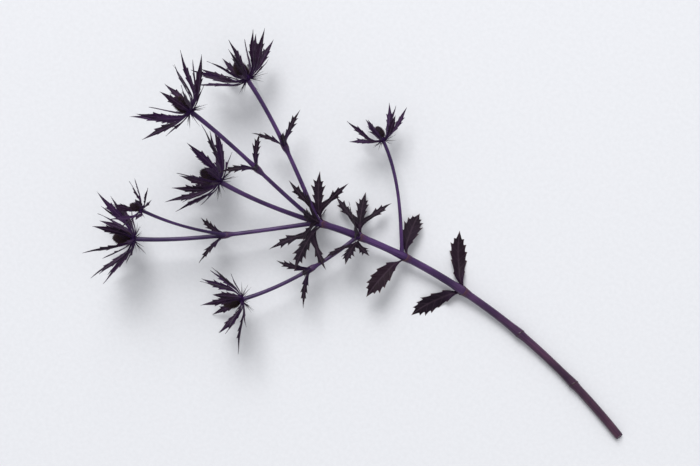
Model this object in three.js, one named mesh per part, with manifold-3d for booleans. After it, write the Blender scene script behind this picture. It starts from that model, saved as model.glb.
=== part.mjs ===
// A cut sea holly stem (Eryngium), laid on its side on a flat surface. Millimetres, +Z up.
// The stem runs along +X from its cut end to the flower heads, and everything rests on z = 0.
//
// The model holds one branching stem, and on the end of each branch a flower head of two solids:
// a cone of spiny florets and, under it, a ruff of long toothed bracts and fine needles.
// Single leaves sit at the nodes: saw-edged ones low down, deeply cut ones under the branches.

import * as THREE from "three";
import { mergeVertices } from "three/addons/utils/BufferGeometryUtils.js";
import Module from "manifold-3d";

const wasm = await Module();
wasm.setup();

// ---------------------------------------------------------------- driving dimensions

const GAP = 0.3; // left between pieces that touch
const SHIFT = [-296.05, 5.3, 0]; // puts the origin at the middle of the box's underside

// Stems: cubic Bezier axes. A branch starts on its parent's axis, at the parameter `at`.
// `radii` are those of the start, the middle and the end. Each node makes the stem `swell` times
// as thick where its leaves grow: a low ring on the main stem, a sheath of leaf feet on a branch.
const STEMS = {
  main: {
    points: [[0, 0, 4.3], [150, -50, 3.6], [285, -48, 10.5], [392, -15, 31]],
    radii: [4.4, 4.0, 3.5],
    nodes: [0.16, 0.34, 0.53, 0.72, 0.86, 0.985], swell: 1.18,
    steps: 14,
  },
  terminal: {
    parent: "main", at: 1,
    points: [[428, -5, 38], [460, 1, 43], [494, 3, 45]],
    radii: [2.6, 2.3, 2.6],
    steps: 5,
  },
  left: {
    parent: "main", at: 0.985,
    points: [[432, 22, 34], [486, 72, 39], [536, 100, 41]],
    radii: [2.4, 2.1, 2.4],
    nodes: [0.5], swell: 1.5,
    steps: 6,
  },
  right: {
    parent: "main", at: 0.985,
    points: [[430, -46, 34], [480, -80, 37], [528, -100, 40]],
    radii: [2.4, 2.1, 2.4],
    nodes: [0.51], swell: 1.5,
    steps: 6,
  },
  upper: {
    parent: "main", at: 0.985,
    points: [[424, -18, 57], [490, -36, 90], [548, -40, 102]],
    radii: [2.3, 2.0, 2.3],
    nodes: [0.53], swell: 1.5,
    steps: 6,
  },
  lowerLeft: {
    parent: "main", at: 0.86,
    points: [[356, 6, 28], [378, 56, 36], [410, 92, 39]],
    radii: [2.2, 1.9, 2.2],
    nodes: [0.46], swell: 1.5,
    steps: 6,
  },
  lowerRight: {
    parent: "main", at: 0.72,
    points: [[318, -66, 22], [342, -102, 28], [378, -124, 31]],
    radii: [2.0, 1.7, 1.9],
    steps: 6,
  },
  small: {
    parent: "left", at: 0.5,
    points: [[488, 58, 58], [510, 64, 86], [536, 66, 104]],
    radii: [1.7, 1.5, 1.7],
    steps: 5,
  },
};
const STEM_SIDES = 8;
const CUT_SLANT = 0.45; // the foot is cut aslant: this far along the stem for each mm across it
const NODE_BEHIND = 4; // how far the swelling at a node reaches back
const NODE_AHEAD = 9; // and ahead, where the leaf feet clasp the stem

// Flower heads. `size` is 1 for a full one, `bracts` the number in the inner and the outer row.
const HEADS = {
  terminal: { size: 1.05, bracts: [8, 7], turn: 0.2, seed: 11 },
  left: { size: 1.0, bracts: [8, 7], turn: 0.55, seed: 23 },
  right: { size: 1.0, bracts: [8, 7], turn: 0.9, seed: 37 },
  upper: { size: 0.98, bracts: [8, 7], turn: 0.35, seed: 41 },
  lowerLeft: { size: 0.92, bracts: [6, 7], turn: 0.1, seed: 53 },
  lowerRight: { size: 0.72, bracts: [5, 6], turn: 0.6, seed: 67 },
  small: { size: 0.58, bracts: [4, 5], turn: 0.3, seed: 79 },
};

// The receptacle on the stem's end, where the bracts grow and the cone sits: height and radius.
const RECEPTACLE_PROFILE = [
  [-2.6, 0], [-2.6, 2.5], [-0.6, 4.1], [1.1, 4.7], [2.2, 4.0], [3.2, 3.4], [3.2, 0],
];
const RECEPTACLE_SIDES = 8;

// The cone of florets on it: height along its axis and radius, from its foot to its tip.
const CONE_PROFILE = [
  [3.2, 3.6], [4.9, 5.3], [7.0, 6.2], [9.2, 6.4], [11.4, 6.2],
  [13.5, 5.6], [15.5, 4.8], [17.3, 3.7], [18.9, 2.4],
];
const CONE_TIP = 20.3;
const FLORETS_ROUND = 9;
const FLORET_REACH = 1.8; // how far a floret's spine stands out of the cone
const FLORET_LEAN = 1.2; // and how far it leans towards the tip

// A blade is a bract, a leaf or a lobe. Its rows give a share of its length and its half width in mm,
// the first row its foot. `reach` is for the stretches of edge after the foot's: how far the tip of
// the tooth there stands out of the edge, or 0 for none. Edges and teeth lie `slant` mm further
// forward for each mm from the rib. A pair of lobes leaves the body's edges `after` that many
// stretches, at an angle to its rib and with a share of its length.
const THICK = 0.75;
const TOOTH_PEAK = 0.72; // where in its stretch of edge a tooth has its tip
const BRACT = {
  length: 54, slant: 1.6,
  rows: [[0, 1.1], [0.2, 1.8], [0.34, 2.7], [0.48, 3.1], [0.63, 2.6]],
  reach: [1.1, 1.8, 1.7],
};
const SLIM_BRACT = {
  length: 36, slant: 1.6,
  rows: [[0, 0.8], [0.34, 1.0], [0.58, 1.1]],
  reach: [1.5],
};
const SAW_LEAF = {
  length: 64, slant: 1.05,
  rows: [[0, 2.3], [0.12, 2.8], [0.26, 5.6], [0.41, 7.6], [0.55, 7.6], [0.69, 5.7], [0.82, 3.0]],
  reach: [1.8, 2.4, 2.8, 2.6, 2.0],
};
const CUT_LEAF = {
  length: 56, slant: 1.05,
  rows: [[0, 2.2], [0.12, 2.5], [0.34, 3.4], [0.48, 4.2], [0.63, 4.0], [0.76, 2.4]],
  reach: [0, 2.4, 3.6, 2.6],
  lobes: {
    after: 0, angle: 0.78, share: 0.72,
    rows: [[0.28, 2.3], [0.48, 2.8], [0.68, 1.9]],
    reach: [2.6, 2.4],
  },
};
const BRANCH_LEAF = {
  length: 42, slant: 1.5,
  rows: [[0, 2.3], [0.2, 2.4], [0.38, 2.1], [0.55, 2.2], [0.72, 1.4]],
  reach: [1.8, 2.5, 2.0],
};

// Leaves: the stem and the place on it, then for each leaf the direction round the stem (0 left,
// a quarter turn up), its length against its form's, its angle off the stem at foot and tip,
// and the twist that turns its face from the stem's tip towards the light.
const LEAVES = {
  top: {
    stem: "main", at: 0.968, form: CUT_LEAF, seed: 101,
    each: [
      [0.5, 1, 0.85, 1.2, 1.25], [0.02, 1.05, 0.9, 1.25, -1.2],
      [0.27, 0.85, 0.6, 0.85, 0.35], [0.78, 0.8, 1.1, 1.5, 0.3],
    ],
  },
  middle: {
    stem: "main", at: 0.846, form: CUT_LEAF, seed: 131,
    each: [[0.56, 0.95, 1.0, 1.35, 1.3], [0.12, 0.8, 1.0, 1.3, -0.9], [0.32, 0.75, 0.7, 1.0, 0.3]],
  },
  lower: {
    stem: "main", at: 0.705, form: SAW_LEAF, seed: 151,
    each: [[0.04, 0.95, 0.85, 1.2, -1.3], [0.55, 0.8, 1.05, 1.4, 1.2]],
  },
  foot: {
    stem: "main", at: 0.52, form: SAW_LEAF, seed: 171,
    each: [[0.94, 1.0, 0.75, 1.0, -1.5], [0.57, 1.05, 0.7, 0.95, 1.5]],
  },
  left: {
    stem: "left", at: 0.49, form: BRANCH_LEAF, seed: 191,
    each: [[0.04, 1, 0.35, 0.7, -1.1], [0.6, 0.9, 0.35, 0.8, 1.0], [0.83, 0.75, 0.65, 0.9, 0.6]],
  },
  right: {
    stem: "right", at: 0.5, form: BRANCH_LEAF, seed: 211,
    each: [[0.52, 1.05, 0.35, 0.8, 1.1], [0.04, 0.95, 0.35, 0.7, -1.0], [0.27, 0.7, 0.75, 0.95, 0.2]],
  },
  upper: {
    stem: "upper", at: 0.52, form: BRANCH_LEAF, seed: 231,
    each: [[0.02, 1, 0.35, 0.7, -1.0], [0.52, 0.95, 0.35, 0.8, 1.0], [0.25, 0.7, 0.8, 0.95, 0.1]],
  },
  lowerLeft: {
    stem: "lowerLeft", at: 0.45, form: BRANCH_LEAF, seed: 251,
    each: [[0.0, 1.05, 0.35, 0.8, -1.1], [0.52, 0.95, 0.35, 0.7, 1.1], [0.25, 0.7, 0.8, 0.95, 0.1]],
  },
};

const MATERIALS = {
  stem: { color: 0x4a3470, roughness: 0.5 },
  cone: { color: 0x2b2029, roughness: 0.8 },
  ruff: { color: 0x3a2d45, roughness: 0.6 },
  leaf: { color: 0x2a2229, roughness: 0.6 },
};

// ---------------------------------------------------------------- small helpers

const UP = new THREE.Vector3(0, 0, 1);
const TURN = 2 * Math.PI;
const vector = (p) => new THREE.Vector3(...p);
const mix = (a, b, t) => a + (b - a) * t;

// A repeatable stream of numbers from 0 to 1.
function draws(seed) {
  let state = seed >>> 0;
  return () => {
    state = (state + 0x6d2b79f5) >>> 0;
    let t = Math.imul(state ^ (state >>> 15), state | 1);
    t ^= t + Math.imul(t ^ (t >>> 7), t | 61);
    return ((t ^ (t >>> 14)) >>> 0) / 4294967296;
  };
}

// A closed solid from vertices and triangles.
function solid(vertices, triangles) {
  return new wasm.Manifold(new wasm.Mesh({
    numProp: 3,
    vertProperties: new Float32Array(vertices.flatMap((v) => [v.x, v.y, v.z])),
    triVerts: new Uint32Array(triangles.flat()),
  }));
}

// A closed solid from one of the three.js geometries.
function solidOfGeometry(geometry) {
  geometry.deleteAttribute("normal");
  geometry.deleteAttribute("uv");
  const merged = mergeVertices(geometry, 1e-4);
  return new wasm.Manifold(new wasm.Mesh({
    numProp: 3,
    vertProperties: merged.attributes.position.array,
    triVerts: new Uint32Array(merged.index.array),
  }));
}

// The largest body of a solid, so that a cut leaves no scrap.
function largest(made) {
  return made.decompose().reduce((a, b) => (b.volume() > a.volume() ? b : a));
}

function meshOf(made, name, material) {
  const { vertProperties, triVerts } = made.getMesh();
  const geometry = new THREE.BufferGeometry();
  geometry.setAttribute("position", new THREE.BufferAttribute(new Float32Array(vertProperties), 3));
  geometry.setIndex(new THREE.BufferAttribute(new Uint32Array(triVerts), 1));
  geometry.computeVertexNormals();
  const mesh = new THREE.Mesh(geometry, new THREE.MeshStandardMaterial({ metalness: 0, ...material }));
  mesh.name = name;
  return mesh;
}

// ---------------------------------------------------------------- the branching stem

// Adds to each stem its curve, parent first.
for (const stem of Object.values(STEMS)) {
  const start = stem.parent ? [STEMS[stem.parent].curve.getPoint(stem.at)] : [];
  stem.curve = new THREE.CubicBezierCurve3(...start, ...stem.points.map(vector));
}

// The directions at a place on a stem: along it, to its left and up from it.
function stemFrame(name, t) {
  const { curve } = STEMS[name];
  const along = curve.getTangent(t);
  const side = UP.clone().cross(along).normalize();
  return { origin: curve.getPoint(t), along, side, top: along.clone().cross(side) };
}

// The direction square to a frame's axis, `round` it from its left side, and one that leans from
// the axis towards it.
const outward = (frame, round) =>
  frame.side.clone().multiplyScalar(Math.cos(round)).addScaledVector(frame.top, Math.sin(round));
const leaning = (frame, out, angle) =>
  frame.along.clone().multiplyScalar(Math.cos(angle)).addScaledVector(out, Math.sin(angle));

// How far a place is from a node, in lengths of the node's swelling on that side of it.
const nodeSteps = (node, t, length) => ((t - node) * length) / (t < node ? NODE_BEHIND : NODE_AHEAD);

function stemRadius(name, t, length) {
  const { radii: [foot, middle, end], nodes = [], swell = 1 } = STEMS[name];
  const plain = t < 0.5 ? mix(foot, middle, 2 * t) : mix(middle, end, 2 * t - 1);
  const near = nodes.map((node) => Math.exp(-(nodeSteps(node, t, length) ** 2)));
  return plain * mix(1, swell, Math.max(0, ...near));
}

// How far a head's foot lies below the end of its stem's axis.
const headFoot = (name) => -RECEPTACLE_PROFILE[0][0] * HEADS[name].size;

// A stem's tube, `grow` thicker than the stem, which ends a gap short of its head.
function stemTube(name, grow = 0) {
  const { curve, steps, nodes = [] } = STEMS[name];
  const length = curve.getLength();
  const last = HEADS[name] ? 1 - (headFoot(name) + GAP - grow) / length : 1;
  const plain = Array.from({ length: steps + 1 }, (_, i) => (i / steps) * last);
  const far = plain.filter((t) => nodes.every((node) => Math.abs(nodeSteps(node, t, length)) > 1.8));
  const near = nodes.flatMap((node) =>
    [-1.2 * NODE_BEHIND, 0, 1.2 * NODE_AHEAD].map((offset) => node + offset / length));
  const stations = [...new Set([...far, ...near.filter((t) => t < last), last])].sort((a, b) => a - b);
  const vertices = [];
  for (const t of stations) {
    const { origin, along, side, top } = stemFrame(name, t);
    const radius = stemRadius(name, t, length) + grow;
    const slant = name === "main" && t === 0 ? CUT_SLANT : 0;
    for (let k = 0; k < STEM_SIDES; k++) {
      const turn = (TURN * (k + 0.5)) / STEM_SIDES;
      vertices.push(origin.clone()
        .addScaledVector(side, Math.cos(turn) * radius)
        .addScaledVector(top, Math.sin(turn) * radius)
        .addScaledVector(along, Math.sin(turn) * radius * slant));
    }
  }
  return solid(vertices, tubeTriangles(stations.length, STEM_SIDES));
}

// The triangles of rings joined one to the next and capped at both ends.
function tubeTriangles(rings, sides) {
  const triangles = [];
  for (let i = 0; i + 1 < rings; i++) {
    for (let k = 0; k < sides; k++) {
      const a = i * sides + k;
      const b = i * sides + ((k + 1) % sides);
      triangles.push([a, b, b + sides], [a, b + sides, a + sides]);
    }
  }
  const lastRing = (rings - 1) * sides;
  for (let k = 1; k + 1 < sides; k++) {
    triangles.push([0, k + 1, k], [lastRing, lastRing + k, lastRing + k + 1]);
  }
  return triangles;
}

// All the stems in one, cut flat where they would reach below the surface that they lie on.
function buildStem(grow = 0) {
  const joined = wasm.Manifold.union(Object.keys(STEMS).map((name) => stemTube(name, grow)));
  return joined.trimByPlane([0, 0, 1], -grow);
}

// ---------------------------------------------------------------- blades: bracts, leaves and lobes

// A flat pattern of triangles, drawn in a blade's own plane: s along its rib and w across it.
class Pattern {
  points = [];
  triangles = [];
  tips = new Set();

  point(s, w) {
    this.points.push([s, w]);
    return this.points.length - 1;
  }

  tip(s, w) {
    const index = this.point(s, w);
    this.tips.add(index);
    return index;
  }

  // Adds a strip that tapers to a tip, with a rib down its middle and teeth along both edges.
  // It grows from `foot`, two points that are there already, or from a foot as its first row says.
  strip({ origin, angle, length, slant, rows, reach, foot }, random) {
    const [cos, sin] = [Math.cos(angle), Math.sin(angle)];
    const at = (u, w) => {
      const s = u * length + slant * Math.abs(w);
      return [origin[0] + s * cos - w * sin, origin[1] + s * sin + w * cos];
    };
    const edges = ([u, half]) => [this.point(...at(u, half)), this.point(...at(u, -half))];
    const [footLeft, footRight] = foot ?? edges(rows[0]);
    const made = (foot ? rows : rows.slice(1)).map((row) => {
      const [left, right] = edges(row);
      return { u: row[0], half: row[1], left, right, rib: this.point(...at(row[0], 0)) };
    });
    const [first] = made;
    this.triangles.push([footLeft, footRight, first.rib], [footLeft, first.rib, first.left]);
    this.triangles.push([footRight, first.right, first.rib]);
    made.slice(1).forEach((far, i) => {
      const near = made[i];
      this.triangles.push([near.rib, far.rib, far.left], [near.rib, far.left, near.left]);
      this.triangles.push([near.right, far.right, far.rib], [near.right, far.rib, near.rib]);
      if (!reach[i]) return;
      const peak = mix(near.u, far.u, TOOTH_PEAK);
      const half = mix(near.half, far.half, TOOTH_PEAK);
      const left = this.tip(...at(peak, half + reach[i] * mix(0.75, 1.25, random())));
      const right = this.tip(...at(peak, -half - reach[i] * mix(0.75, 1.25, random())));
      this.triangles.push([near.left, far.left, left], [near.right, right, far.right]);
    });
    const last = made[made.length - 1];
    const tip = this.tip(...at(1, 0));
    this.triangles.push([last.rib, tip, last.left], [last.right, tip, last.rib]);
    return made;
  }
}

function bladePattern({ rows, reach, slant, lobes }, length, scale, random) {
  const pattern = new Pattern();
  const wide = (list) => list.map(([u, half]) => [u, half * scale]);
  const long = (list) => list.map((r) => r * scale);
  const body = { origin: [0, 0], angle: 0, length, slant, rows: wide(rows), reach: long(reach) };
  const made = pattern.strip(body, random);
  if (lobes) {
    const [near, far] = [made[lobes.after], made[lobes.after + 1]];
    const lobe = { slant, length: length * lobes.share, rows: wide(lobes.rows), reach: long(lobes.reach) };
    for (const side of [1, -1]) {
      const foot = side > 0 ? [near.left, far.left] : [far.right, near.right];
      const [a, b] = foot.map((index) => pattern.points[index]);
      const origin = [mix(a[0], b[0], 0.5), mix(a[1], b[1], 0.5)];
      pattern.strip({ ...lobe, origin, angle: side * lobes.angle, foot }, random);
    }
  }
  return pattern;
}

// Where a blade's rib runs: out of `origin` at an angle to `along`, in the plane that also holds `out`.
// Over the first part of the rib the angle goes from open[0] to open[1] and the blade turns by `twist`
// about its rib. Further out the angle changes by `recurve`, and `sway` turns the rib round `along`.
const RIB_STEPS = 40;
const OPENS_OVER = 0.45;
function ribOf({ frame, azimuth, foot, rise, open, recurve, sway, twist, length }) {
  const stations = [];
  const here = new THREE.Vector3();
  for (let i = 0; i <= RIB_STEPS; i++) {
    const f = i / RIB_STEPS;
    const x = Math.min(1, f / OPENS_OVER);
    const ease = x * x * (3 - 2 * x);
    const angle = mix(open[0], open[1], ease) + recurve * f * f;
    const round = azimuth + sway * f * f;
    const out = outward(frame, round);
    const along = leaning(frame, out, angle);
    const face = frame.along.clone().multiplyScalar(Math.sin(angle)).addScaledVector(out, -Math.cos(angle));
    face.applyAxisAngle(along, twist * ease);
    if (i === 0) here.copy(frame.origin).addScaledVector(frame.along, rise).addScaledVector(out, foot);
    else here.addScaledVector(along, length / RIB_STEPS);
    stations.push({ at: here.clone(), along, face, across: face.clone().cross(along) });
  }
  return stations;
}

// A point of the blade's middle surface and its face's direction, s along the rib and w across.
// What would lie lower than `lowest` is pressed flat onto the surface that the stem rests on.
function bladePoint(rib, length, fold, s, w, lowest) {
  const place = Math.min(RIB_STEPS, Math.max(0, (s / length) * RIB_STEPS));
  const i = Math.min(RIB_STEPS - 1, Math.floor(place));
  const [a, b] = [rib[i], rib[i + 1]];
  const blend = (key) => a[key].clone().lerp(b[key], place - i);
  const face = blend("face").normalize();
  const lift = fold * Math.abs(w) / (1 + Math.abs(w) / 14);
  const point = blend("at").addScaledVector(blend("across"), w).addScaledVector(face, lift);
  if (point.z < lowest) {
    point.z = lowest;
    face.set(0, 0, face.z < 0 ? -1 : 1);
  }
  return { point, face };
}

// The blade as a solid: the pattern's triangles on both faces, and walls along its edge.
function bladeSolid(pattern, rib, length, fold) {
  const vertices = [];
  const upper = [];
  const lower = [];
  pattern.points.forEach(([s, w], i) => {
    const half = pattern.tips.has(i) ? 0 : THICK / 2;
    const { point, face } = bladePoint(rib, length, fold, s, w, half);
    upper[i] = vertices.push(point.clone().addScaledVector(face, half)) - 1;
    lower[i] = half ? vertices.push(point.clone().addScaledVector(face, -half)) - 1 : upper[i];
  });
  const used = new Set(pattern.triangles.flatMap(([a, b, c]) => [a + "_" + b, b + "_" + c, c + "_" + a]));
  const triangles = [];
  for (const [a, b, c] of pattern.triangles) {
    triangles.push([upper[a], upper[b], upper[c]], [lower[c], lower[b], lower[a]]);
    for (const [p, q] of [[a, b], [b, c], [c, a]]) {
      if (used.has(q + "_" + p)) continue;
      if (lower[q] !== upper[q]) triangles.push([lower[p], lower[q], upper[q]]);
      if (lower[p] !== upper[p]) triangles.push([lower[p], upper[q], upper[p]]);
    }
  }
  return solid(vertices, triangles);
}

// ---------------------------------------------------------------- flower heads

const headFrame = (name) => stemFrame(name, 1);

// Carries a point from a head's own axes, z along the stem, to its place.
function placed(frame, x, y, z) {
  return frame.origin.clone()
    .addScaledVector(frame.side, x).addScaledVector(frame.top, y).addScaledVector(frame.along, z);
}

// The cone: a lattice of low points with a floret's spine raised over each diamond between them.
function coneSolid(name) {
  const { size, turn } = HEADS[name];
  const frame = headFrame(name);
  const around = FLORETS_ROUND;
  const angleOf = (row, k) => TURN * ((k + (row % 2) / 2) / around + turn);
  const on = (angle, radius, height) =>
    placed(frame, Math.cos(angle) * radius * size, Math.sin(angle) * radius * size, height * size + GAP);
  const vertices = CONE_PROFILE.flatMap(([height, radius], row) =>
    Array.from({ length: around }, (_, k) => on(angleOf(row, k), radius, height)));
  const low = (row, k) => row * around + ((k + around) % around);
  const last = CONE_PROFILE.length - 1;
  const foot = vertices.push(on(0, 0, CONE_PROFILE[0][0])) - 1;
  const tip = vertices.push(on(0, 0, CONE_TIP)) - 1;
  const triangles = [];
  for (let row = 0; row <= last; row++) {
    const shift = row % 2; // the rows beside this one meet it half a step round
    for (let k = 0; k < around; k++) {
      const [a, b] = [low(row, k), low(row, k + 1)];
      const beside = k + shift;
      if (row === 0) triangles.push([foot, b, a], [a, b, low(1, beside)]);
      else if (row === last) triangles.push([b, a, low(row - 1, beside)], [a, b, tip]);
      else {
        const [height, radius] = CONE_PROFILE[row];
        const spine = on(angleOf(row, k + 0.5), radius + FLORET_REACH, height + FLORET_LEAN);
        const apex = vertices.push(spine) - 1;
        const [under, over] = [low(row - 1, beside), low(row + 1, beside)];
        triangles.push([under, b, apex], [b, over, apex], [over, a, apex], [a, under, apex]);
      }
    }
  }
  return solid(vertices, triangles);
}

function receptacle(name) {
  const { size } = HEADS[name];
  const frame = headFrame(name);
  const outline = RECEPTACLE_PROFILE.map(([height, radius]) => new THREE.Vector2(radius, height));
  const axes = new THREE.Matrix4().makeBasis(frame.side, frame.top, frame.along).setPosition(frame.origin);
  const geometry = new THREE.LatheGeometry(outline, RECEPTACLE_SIDES).scale(size, size, size);
  return solidOfGeometry(geometry.rotateX(Math.PI / 2).applyMatrix4(axes));
}

// A three-sided needle from `from` towards `direction`, which stops at the surface it would enter.
const NEEDLE_RADIUS = 0.62;
function needle(from, direction, length) {
  const side = UP.clone().cross(direction).normalize();
  const top = direction.clone().cross(side);
  const tip = from.clone().addScaledVector(direction, length);
  tip.z = Math.max(tip.z, NEEDLE_RADIUS);
  const ring = [0, 1, 2].map((k) => from.clone()
    .addScaledVector(side, Math.cos((TURN * k) / 3) * NEEDLE_RADIUS)
    .addScaledVector(top, Math.sin((TURN * k) / 3) * NEEDLE_RADIUS));
  return solid([...ring, tip], [[0, 2, 1], [0, 1, 3], [1, 2, 3], [2, 0, 3]]);
}

// The rows of the ruff, from the inside out: the form, where on the receptacle it grows,
// how far it opens at the foot and further out, and how many there are for a head.
const ROWS = [
  { form: BRACT, rise: 0.9, open: [1.4, 0.62], count: (head) => head.bracts[0], turn: 0 },
  { form: BRACT, rise: -0.1, open: [1.5, 0.98], count: (head) => head.bracts[1], turn: 0.5 },
  { form: SLIM_BRACT, rise: -1.0, open: [1.6, 1.25], count: (head) => head.bracts[1] - 4, turn: 0.05 },
];
const ROOT_RADIUS = 1.7; // where a bract starts, inside the receptacle
const NEEDLE_ROOT = 2.8; // and where a needle does
const TWIST = [0.4, 1.0]; // the least and the most that a bract turns about its rib, either way
const NEEDLES = 10;

function ruffSolid(name) {
  const head = HEADS[name];
  const frame = headFrame(name);
  const random = draws(head.seed);
  const vary = (share) => mix(-share, share, random());
  const twist = (turn) => Math.sign(turn) * mix(...TWIST, Math.abs(turn));
  const pieces = [receptacle(name)];
  for (const row of ROWS) {
    const count = row.count(head);
    for (let k = 0; k < count; k++) {
      const length = row.form.length * head.size * (1 + vary(0.13));
      const rib = ribOf({
        frame, length,
        azimuth: TURN * ((k + row.turn) / count + head.turn) + vary(0.12),
        foot: ROOT_RADIUS * head.size,
        rise: (row.rise + vary(0.2)) * head.size,
        open: [row.open[0], row.open[1] + vary(0.14)],
        recurve: vary(0.22),
        sway: vary(0.22),
        twist: twist(vary(1)),
      });
      const pattern = bladePattern(row.form, length, Math.sqrt(head.size), random);
      pieces.push(bladeSolid(pattern, rib, length, 0.28));
    }
  }
  for (let k = 0; k < NEEDLES; k++) {
    const round = TURN * ((k + 0.25) / NEEDLES + head.turn) + vary(0.15);
    const angle = mix(1.75, 2.45, random());
    const out = outward(frame, round);
    const direction = leaning(frame, out, angle);
    const from = frame.origin.clone()
      .addScaledVector(frame.along, -1.0 * head.size).addScaledVector(out, NEEDLE_ROOT * head.size);
    pieces.push(needle(from, direction, mix(13, 21, random()) * head.size));
  }
  return largest(wasm.Manifold.union(pieces));
}

// ---------------------------------------------------------------- leaves

const LEAF_FOLD = 0.22;
const LEAF_RECURVE = 0.3;
function leafSolids(group, clearing) {
  const { stem, at, form, seed, each } = LEAVES[group];
  const frame = stemFrame(stem, at);
  return each.map(([round, share, ...angles], k) => {
    const random = draws(seed + k);
    const vary = (spread) => mix(-spread, spread, random());
    const length = form.length * share;
    const rib = ribOf({
      frame, length,
      open: angles.slice(0, 2),
      azimuth: TURN * round,
      foot: 0,
      rise: 0,
      recurve: LEAF_RECURVE + vary(0.1),
      sway: vary(0.2),
      twist: angles[2] + vary(0.15),
    });
    const pattern = bladePattern(form, length, 1, random);
    return largest(bladeSolid(pattern, rib, length, LEAF_FOLD).subtract(clearing));
  });
}

// ---------------------------------------------------------------- the plant

const plant = new THREE.Group();
plant.position.set(...SHIFT);
plant.add(meshOf(buildStem(), "stem", MATERIALS.stem));
for (const name of Object.keys(HEADS)) {
  plant.add(meshOf(coneSolid(name), `cone_${name}`, MATERIALS.cone));
  plant.add(meshOf(ruffSolid(name), `ruff_${name}`, MATERIALS.ruff));
}
const clearing = buildStem(GAP);
for (const group of Object.keys(LEAVES)) {
  leafSolids(group, clearing).forEach((made, k) => {
    plant.add(meshOf(made, `leaf_${group}_${k + 1}`, MATERIALS.leaf));
  });
}

export default plant;
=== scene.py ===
"""A cut stem of sea holly, dyed a dark violet, lying on a pale floor and seen from above.

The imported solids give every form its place. This script lays finer pieces over them, worked out by
the same rules and the same seeded draws: the ribbed stem, the toothed bracts with their ribs, veins
and spines, the florets of the cones and the leaves. Lengths are in millimetres until a mesh is made.
"""

import math

import bpy
import numpy as np
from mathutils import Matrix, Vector


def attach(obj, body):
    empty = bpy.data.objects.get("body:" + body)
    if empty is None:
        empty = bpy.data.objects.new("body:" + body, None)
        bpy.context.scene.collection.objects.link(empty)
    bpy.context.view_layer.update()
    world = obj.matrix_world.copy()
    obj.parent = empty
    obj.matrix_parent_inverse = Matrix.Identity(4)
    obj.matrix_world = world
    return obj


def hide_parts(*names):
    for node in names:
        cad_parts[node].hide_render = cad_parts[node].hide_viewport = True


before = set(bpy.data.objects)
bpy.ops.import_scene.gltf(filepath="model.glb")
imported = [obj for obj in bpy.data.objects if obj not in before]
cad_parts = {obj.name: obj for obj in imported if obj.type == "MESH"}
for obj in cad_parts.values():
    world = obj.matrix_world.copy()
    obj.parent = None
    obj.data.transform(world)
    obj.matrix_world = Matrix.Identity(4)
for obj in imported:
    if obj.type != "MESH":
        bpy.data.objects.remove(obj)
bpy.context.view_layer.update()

# ---- dimensions, as in the solids

MM = 0.001
TURN = 2 * math.pi
UP = np.array([0.0, 0.0, 1.0])
GAP = 0.3  # by which a cone is lifted off its receptacle
SHIFT = np.array([-296.05, 5.3, 0.0])  # puts the origin at the middle of the box's underside

# Stems: the points of each cubic Bezier axis, the radii of its start, middle and end, and its nodes
# with how much they swell it. A branch starts `on` its parent's axis, at the place given there.
STEMS = {
    "main": dict(
        points=[(0, 0, 4.3), (150, -50, 3.6), (285, -48, 10.5), (392, -15, 31)],
        radii=(4.4, 4.0, 3.5), nodes=(0.16, 0.34, 0.53, 0.72, 0.86, 0.985), swell=1.18,
    ),
    "terminal": dict(
        on=("main", 1), points=[(428, -5, 38), (460, 1, 43), (494, 3, 45)],
        radii=(2.6, 2.3, 2.6),
    ),
    "left": dict(
        on=("main", 0.985), points=[(432, 22, 34), (486, 72, 39), (536, 100, 41)],
        radii=(2.4, 2.1, 2.4), nodes=(0.5,), swell=1.5,
    ),
    "right": dict(
        on=("main", 0.985), points=[(430, -46, 34), (480, -80, 37), (528, -100, 40)],
        radii=(2.4, 2.1, 2.4), nodes=(0.51,), swell=1.5,
    ),
    "upper": dict(
        on=("main", 0.985), points=[(424, -18, 57), (490, -36, 90), (548, -40, 102)],
        radii=(2.3, 2.0, 2.3), nodes=(0.53,), swell=1.5,
    ),
    "lowerLeft": dict(
        on=("main", 0.86), points=[(356, 6, 28), (378, 56, 36), (410, 92, 39)],
        radii=(2.2, 1.9, 2.2), nodes=(0.46,), swell=1.5,
    ),
    "lowerRight": dict(
        on=("main", 0.72), points=[(318, -66, 22), (342, -102, 28), (378, -124, 31)],
        radii=(2.0, 1.7, 1.9),
    ),
    "small": dict(
        on=("left", 0.5), points=[(488, 58, 58), (510, 64, 86), (536, 66, 104)],
        radii=(1.7, 1.5, 1.7),
    ),
}
NODE_BEHIND = 4  # how far the swelling at a node reaches back
NODE_AHEAD = 9  # and ahead, where the leaf feet clasp the stem
CUT_SLANT = 0.45  # the foot is cut aslant: this far along the stem for each mm across it

# Flower heads: size, number of bracts in the inner and the outer row, turn round the stem, seed.
HEADS = {
    "terminal": dict(size=1.05, bracts=(8, 7), turn=0.2, seed=11),
    "left": dict(size=1.0, bracts=(8, 7), turn=0.55, seed=23),
    "right": dict(size=1.0, bracts=(8, 7), turn=0.9, seed=37),
    "upper": dict(size=0.98, bracts=(8, 7), turn=0.35, seed=41),
    "lowerLeft": dict(size=0.92, bracts=(6, 7), turn=0.1, seed=53),
    "lowerRight": dict(size=0.72, bracts=(5, 6), turn=0.6, seed=67),
    "small": dict(size=0.58, bracts=(4, 5), turn=0.3, seed=79),
}

# The receptacle on a stem's end and the cone of florets on it: height along the axis and radius.
RECEPTACLE = [
    (-3.4, 2.2), (-2.6, 2.6), (-1.6, 3.5), (-0.6, 4.1), (0.4, 4.6),
    (1.1, 4.7), (2.2, 4.0), (3.0, 3.3), (3.4, 1.5),
]
CONE = [
    (3.2, 3.6), (4.9, 5.3), (7.0, 6.2), (9.2, 6.4), (11.4, 6.2),
    (13.5, 5.6), (15.5, 4.8), (17.3, 3.7), (18.9, 2.4), (20.3, 0.3),
]

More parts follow.
